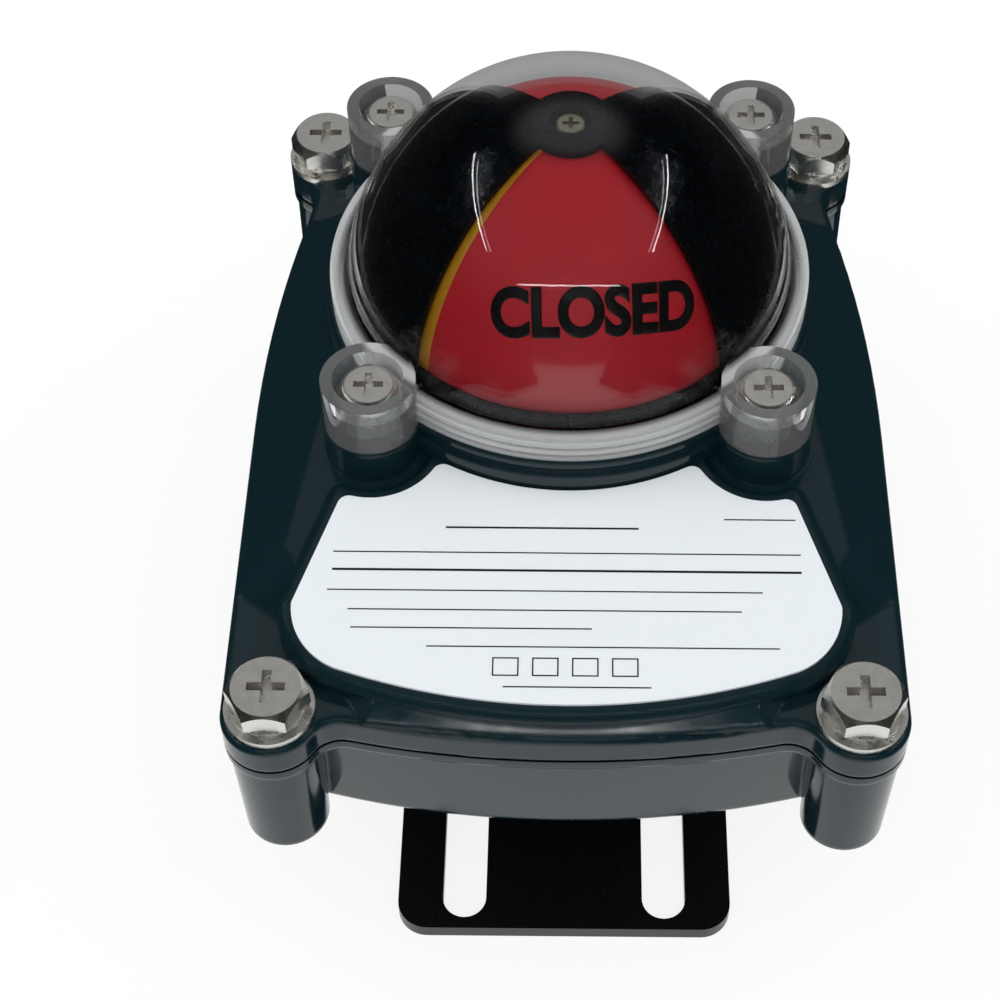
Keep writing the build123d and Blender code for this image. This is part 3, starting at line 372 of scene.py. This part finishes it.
acetal_rough, acetal_ior = (0.25, 0.4), 1.48
phenolic = moulded("moulded_black_phenolic", "#17181a", rough=(0.28, 0.4), ior=1.6)
dress(phenolic, "lower_switch", "upper_switch")
fibre = moulded("pressed_insulating_fibre", "#3a3129", rough=(0.5, 0.65))
dress(fibre, "switch_spacer")
grey_nylon = moulded("moulded_grey_nylon", "#8d9195", rough=(0.35, 0.5))
dress(grey_nylon, "terminal_strip")
red_acetal = moulded("moulded_red_acetal", "#a3211f", acetal_rough, acetal_ior)
dress(red_acetal, "lower_cam")
yellow_acetal = moulded("moulded_yellow_acetal", "#d9a51f", acetal_rough, acetal_ior)
dress(yellow_acetal, "upper_cam")
white_acetal = moulded("moulded_natural_acetal", "#dcdad2", acetal_rough, acetal_ior)
dress(white_acetal, "cam_cap", "lower_lever_roller", "upper_lever_roller",
      "lower_switch_plunger", "upper_switch_plunger")


# ---------------------------------------------------------------- indicator hood and drum
# A black polystyrene hood with two windows, and under it the turning drum: a black carrier with
# two red and two yellow shell panels, moulded with a soft gloss, and a dull nickelled screw.
hood_plastic = moulded("moulded_gloss_black_polystyrene", "#040b11", rough=(0.2, 0.3), ior=1.32)
dress(hood_plastic, "indicator_hood", "drum_carrier")
panel_rough, panel_ior = (0.34, 0.46), 1.4
closed_red = moulded("moulded_signal_red_polystyrene", "#c21f2b", panel_rough, panel_ior)
dress(closed_red, "drum_closed_panels")
open_yellow = moulded("moulded_signal_yellow_polystyrene", "#cf9420", panel_rough, panel_ior)
dress(open_yellow, "drum_open_panels")
nickel = grained("dull_nickel_plate", "#b9b69f", grain_mm=1.0, depth_mm=0.003,
                 rough=(0.35, 0.5), Metallic=1.0)
dress(nickel, "drum_screw")


# ---------------------------------------------------------------- words on the drum
# One word on each panel in thick black ink, screen printed in a bold plain face. The ink
# follows the drum's round and dries to a soft gloss, like the plastic's.
drum_centre = Vector((0.0, 0.0, 61.4))
drum_radius = 29.6
word_height = 7.2           # capital height, along the drum
closed_width, open_width = 29.0, 22.0
letter_bold = 0.042         # how far each stroke is thickened, as a share of the type's size
word_shift = 2.4            # each word is printed a little right of its panel's middle
word_tilt = 53.0            # degrees from the pole to the middle of the word
closed_middles = (-87.0, 93.0)          # degrees round the shaft
open_middles = (3.0, 183.0)
ink_gap = 0.02              # the ink starts this far over the panel
ink_thickness = 0.12
longest_edge = 0.9          # longer edges are halved, so that a word bends with the drum
halvings = 3

black_ink = moulded("thick_black_screen_ink", "#0b0b0d", rough=(0.35, 0.5))


def word_mesh(word, wide):
    """A word as a flat mesh in millimetres, centred, its capitals one word height tall."""
    curve = bpy.data.curves.new("word", "FONT")
    curve.body = word
    curve.align_x = "CENTER"
    curve.size = 1.0
    curve.offset = letter_bold
    curve.resolution_u = 6
    holder = bpy.data.objects.new("word", curve)
    scene.collection.objects.link(holder)
    bpy.context.view_layer.update()
    flat = bpy.data.meshes.new_from_object(holder)
    bpy.data.objects.remove(holder)
    bm = bmesh.new()
    bm.from_mesh(flat)
    low = min(v.co.y for v in bm.verts)
    high = max(v.co.y for v in bm.verts)
    left = min(v.co.x for v in bm.verts)
    right = max(v.co.x for v in bm.verts)
    size = (wide / (right - left), word_height / (high - low), 1.0)
    middle = (-(left + right) / 2, -(low + high) / 2, 0)
    bmesh.ops.translate(bm, verts=bm.verts, vec=middle)
    bmesh.ops.scale(bm, verts=bm.verts, vec=size)
    return bm


def round_word(name, word, wide, middles):
    """The word on both of its panels, bent round the drum and given the ink's thickness."""
    whole = bmesh.new()
    for middle in middles:
        bm = word_mesh(word, wide)
        bmesh.ops.triangulate(bm, faces=bm.faces)
        for _ in range(halvings):
            long_edges = [e for e in bm.edges if e.calc_length() > longest_edge]
            bmesh.ops.subdivide_edges(bm, edges=long_edges, cuts=1)
            bmesh.ops.triangulate(bm, faces=bm.faces)
        turn = (Matrix.Rotation(math.radians(middle + 90.0), 3, "Z")
                @ Matrix.Rotation(math.radians(word_tilt), 3, "X"))
        for v in bm.verts:
            across = (v.co.x + word_shift) / drum_radius
            up = v.co.y / drum_radius
            v.co = turn @ Vector((math.sin(across) * math.cos(up), math.sin(up),
                                  math.cos(across) * math.cos(up)))
            v.co *= drum_radius + ink_gap
        bm.normal_update()
        top = bmesh.ops.extrude_face_region(bm, geom=bm.faces[:])
        for v in [g for g in top["geom"] if isinstance(g, bmesh.types.BMVert)]:
            v.co += v.co.normalized() * ink_thickness
        bmesh.ops.translate(bm, verts=bm.verts, vec=drum_centre)
        bmesh.ops.scale(bm, verts=bm.verts, vec=(MM, MM, MM))
        part = bpy.data.meshes.new(name)
        bm.to_mesh(part)
        bm.free()
        whole.from_mesh(part)
        bpy.data.meshes.remove(part)
    bmesh.ops.recalc_face_normals(whole, faces=whole.faces)
    mesh = bpy.data.meshes.new(name)
    whole.to_mesh(mesh)
    whole.free()
    mesh.materials.append(black_ink)
    piece = bpy.data.objects.new(name, mesh)
    scene.collection.objects.link(piece)
    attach(piece, "shaft")


round_word("closed_words", "CLOSED", closed_width, closed_middles)
round_word("open_words", "OPEN", open_width, open_middles)


# ---------------------------------------------------------------- dome
# Injection-moulded clear polycarbonate, polished, with its ring and four screw ears in one
# piece. The thick ring traps light and looks milky beside the thin, clear ball, and the ears
# only a little.
ball_edge, ring_start = 33.4, 34.6      # radii between which the ball turns to the ring
ring_edge, ear_start = 35.6, 36.4       # and the ring to the ears
ring_clearness = 0.58
ears_clearer = 0.33                     # how much clearer the ears are than the ring
clear, tree, shader = material("clear_moulded_polycarbonate")
set_shader(shader, Base_Color=(1.0, 1.0, 1.0, 1.0), Roughness=0.0, IOR=1.33)
where = add(tree, "ShaderNodeTexCoord")
flat = add(tree, "ShaderNodeMapping", inputs={"Scale": (1.0, 1.0, 0.0)},
           links={"Vector": where.outputs["Object"]})
reach = add(tree, "ShaderNodeVectorMath", {"operation": "LENGTH"},
            links={0: flat.outputs["Vector"]})
ring_milk = add(tree, "ShaderNodeMapRange",
                inputs={"From Min": ball_edge * MM, "From Max": ring_start * MM,
                        "To Min": 1.0, "To Max": ring_clearness},
                links={"Value": reach.outputs["Value"]})
ear_clear = add(tree, "ShaderNodeMapRange",
                inputs={"From Min": ring_edge * MM, "From Max": ear_start * MM,
                        "To Min": 0.0, "To Max": ears_clearer},
                links={"Value": reach.outputs["Value"]})
clearness = add(tree, "ShaderNodeMath", {"operation": "ADD"},
                links={0: ring_milk.outputs["Result"], 1: ear_clear.outputs["Result"]})
tree.links.new(clearness.outputs[0], shader.inputs["Transmission Weight"])
dress(clear, "dome")


# ---------------------------------------------------------------- nameplate
# A thin white-enamelled aluminium plate on its pad, with a long faint wave and a satin gloss.
# It carries ruled lines and four empty boxes only, printed in the drum's ink.
enamel, tree, shader = material("white_enamelled_aluminium")
set_shader(shader, Base_Color=linear("#e6eaec"), IOR=1.5, Roughness=0.27)
relief(tree, shader, grain_mm=4.0, depth_mm=0.0006)
dress(enamel, "nameplate")

pad_height = 61.07          # of the sloping pad, over the shaft's axis
plate_thickness = 0.5
plate_slope = math.radians(7.4)
plate_middle = Vector((0.0, 0.0, pad_height + plate_thickness))
ink_rise = 0.03


def printed(name, marks):
    """Flat marks on the sloping plate: middle x, y along the slope, width and height of each."""
    bm = bmesh.new()
    for x, y, wide, high in marks:
        made = bmesh.ops.create_grid(bm, x_segments=1, y_segments=1, size=0.5)["verts"]
        bmesh.ops.scale(bm, verts=made, vec=(wide, high, 1.0))
        bmesh.ops.translate(bm, verts=made, vec=(x, y, ink_rise))
    shape = (Matrix.Translation(plate_middle * MM) @ Matrix.Rotation(plate_slope, 4, "X")
             @ Matrix.Scale(MM, 4))
    bmesh.ops.transform(bm, matrix=shape, verts=bm.verts)
    mesh = bpy.data.meshes.new(name)
    bm.to_mesh(mesh)
    bm.free()
    mesh.materials.append(black_ink)
    piece = bpy.data.objects.new(name, mesh)
    scene.collection.objects.link(piece)
    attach(piece, "cover")


def empty_box(x, y, wide, high, line):
    """Four marks that outline an empty box."""
    return [(x, y + high / 2, wide + line, line), (x, y - high / 2, wide + line, line),
            (x - wide / 2, y, line, high), (x + wide / 2, y, line, high)]


thin, medium, bold = 0.2, 0.3, 0.36     # thickness of the rules
rules = [(0.0, -50.4, 65.0, bold), (-3.5, -43.6, 27.0, medium), (27.0, -42.0, 10.0, thin),
         (0.0, -47.6, 65.0, thin), (-3.0, -53.6, 60.0, thin), (-3.0, -56.6, 54.0, thin),
         (-13.0, -59.4, 33.0, thin), (5.0, -62.2, 48.0, thin), (1.5, -68.2, 20.0, thin)]
for box_x in (-8.2, -2.8, 2.6, 8.0):
    rules += empty_box(box_x, -65.2, wide=3.4, high=2.6, line=thin)
printed("plate_rules", rules)
